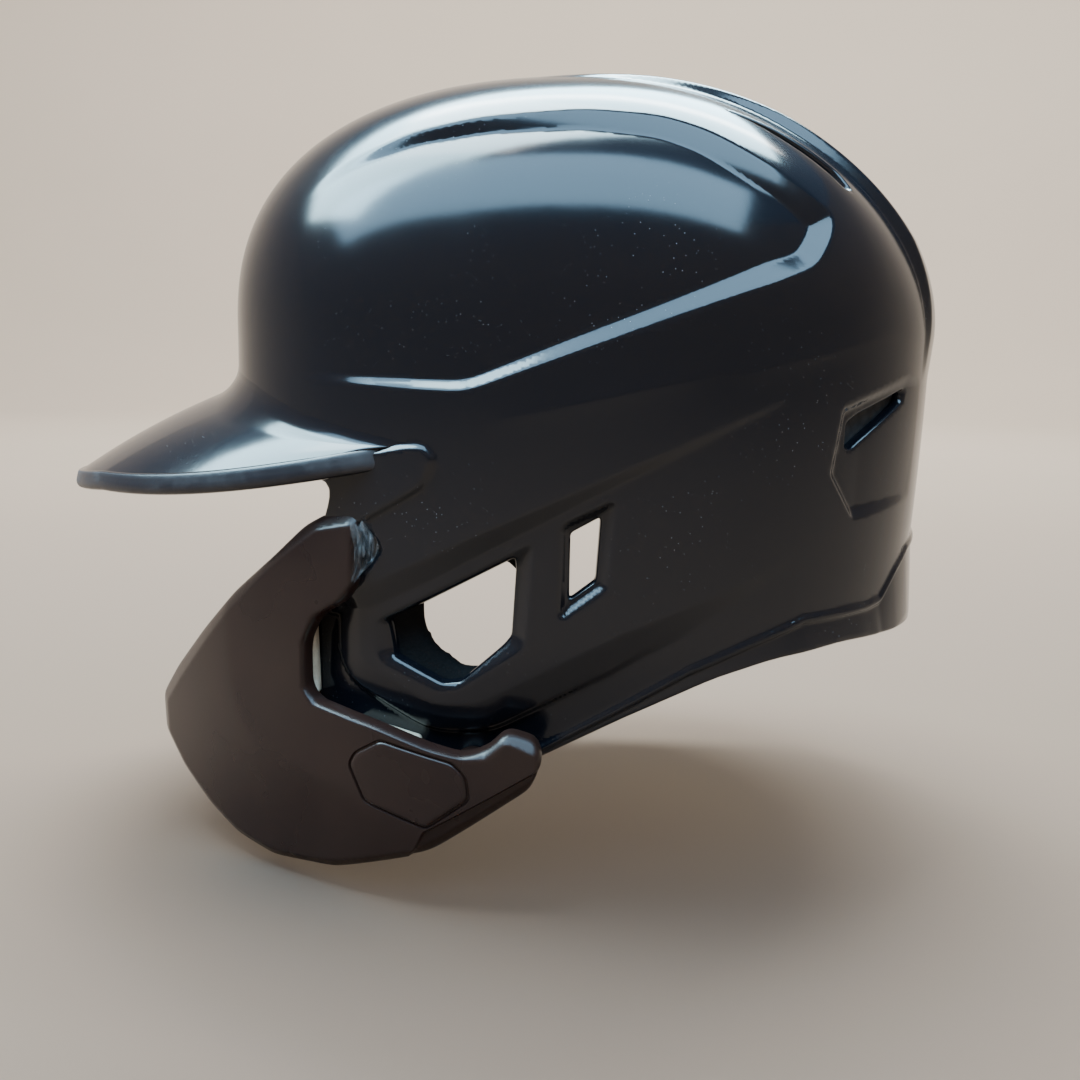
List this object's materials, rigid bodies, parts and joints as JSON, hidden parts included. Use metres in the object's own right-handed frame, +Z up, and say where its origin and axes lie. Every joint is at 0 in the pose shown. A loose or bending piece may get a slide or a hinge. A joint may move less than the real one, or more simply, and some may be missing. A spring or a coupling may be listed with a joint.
{
  "type": "batting helmet",
  "caption": "Hard-shell batting helmet with a short brim, a single ear flap, a bolt-on guard in front of the jaw and a padded foam lining.",
  "frame": {"origin": "centre of the head opening at the level of the brow line, in the middle plane", "axes": "+X is the wearer's left (flap and guard side), +Y is the wearer's back, +Z is up through the crown"},
  "size_m": [0.2088, 0.307, 0.2557],
  "materials": {
    "shell": "gloss, near black",
    "guard": "satin, very dark plum",
    "badge": "satin",
    "foam_tape": "matt foam, tan",
    "clear_tape": "clear, cloudy",
    "screws": "satin",
    "washers": "satin",
    "inserts": "satin",
    "liner": "matt, beaded foam",
    "pads": "knitted cover",
    "ear_foam": "soft open foam"
  },
  "bodies": {
    "root": {"outer_shell": "shell", "face_guard": "guard", "guard_badge": "badge", "guard_foam_front": "foam_tape", "guard_foam_lower": "foam_tape", "guard_tape": "clear_tape", "guard_screws": "screws", "guard_washers": "washers", "guard_inserts": "inserts", "liner_front": "liner", "liner_crown": "liner", "liner_left": "liner", "liner_right": "liner", "liner_back": "liner", "brow_pad": "pads", "crown_pad": "pads", "temple_pad_left": "pads", "temple_pad_right": "pads", "side_pad_left": "pads", "side_pad_right": "pads", "nape_pad": "pads", "ear_pad": "ear_foam"}
  },
  "joints": []
}
